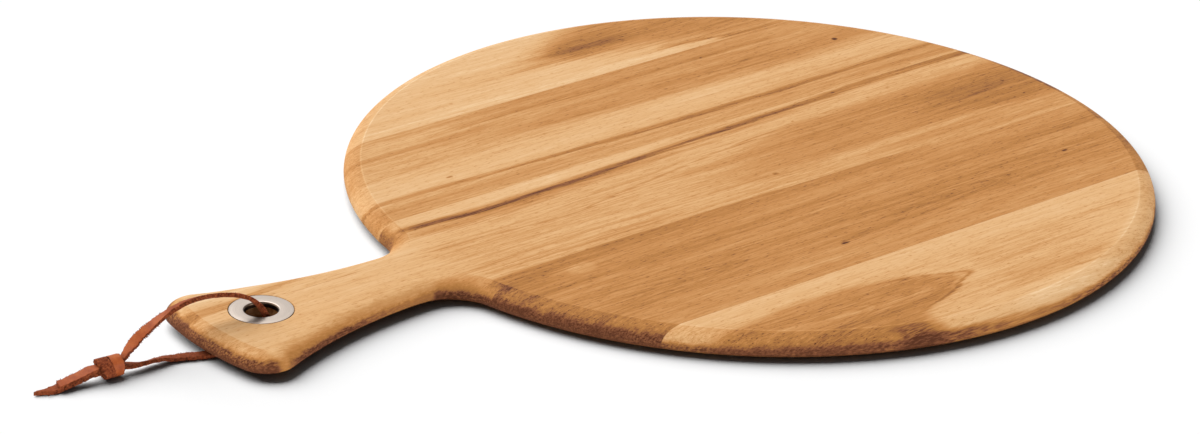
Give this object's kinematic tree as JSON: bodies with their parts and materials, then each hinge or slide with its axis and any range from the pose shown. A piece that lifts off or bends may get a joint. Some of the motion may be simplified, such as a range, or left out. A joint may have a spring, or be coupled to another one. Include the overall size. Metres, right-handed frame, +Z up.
{
  "type": "round wooden serving board",
  "caption": "Round edge-glued acacia serving board with a flared paddle handle, a metal eyelet through the handle and a knotted leather hanging lace.",
  "frame": {"origin": "centre of the round disc on its flat underside, which is the surface the board lies on", "axes": "+X along the board's axis from the handle's end to the disc's far rim, +Y across the staves, +Z up out of the serving face"},
  "size_m": [0.5795, 0.3798, 0.0275],
  "materials": {
    "acacia_far_outer": "sanded and oiled, pale sapwood with a brown figure",
    "acacia_far_inner": "sanded and oiled, golden brown with dark streaks",
    "acacia_centre": "sanded and oiled, pale gold",
    "acacia_near_inner": "sanded and oiled, mid-brown heartwood",
    "acacia_near_outer": "sanded and oiled, sapwood with a brown flame",
    "eyelet_steel": "satin",
    "lace_leather": "tan grain side, rough cut edges"
  },
  "bodies": {
    "board": {"stave_far_outer": "acacia_far_outer", "stave_far_inner": "acacia_far_inner", "stave_centre_with_handle": "acacia_centre", "stave_near_inner": "acacia_near_inner", "stave_near_outer": "acacia_near_outer", "eyelet_top": "eyelet_steel", "eyelet_bottom": "eyelet_steel"},
    "lace": {"lace_loop": "lace_leather", "lace_knot": "lace_leather", "lace_tail_upper": "lace_leather", "lace_tail_lower": "lace_leather"}
  },
  "joints": [
    {"name": "lace_swivel", "type": "hinge", "parent": "board", "child": "lace", "pos_m": [-0.2786, 0.0027, 0], "axis": [0, 0, 1], "range_deg": [-75, 75]}
  ]
}
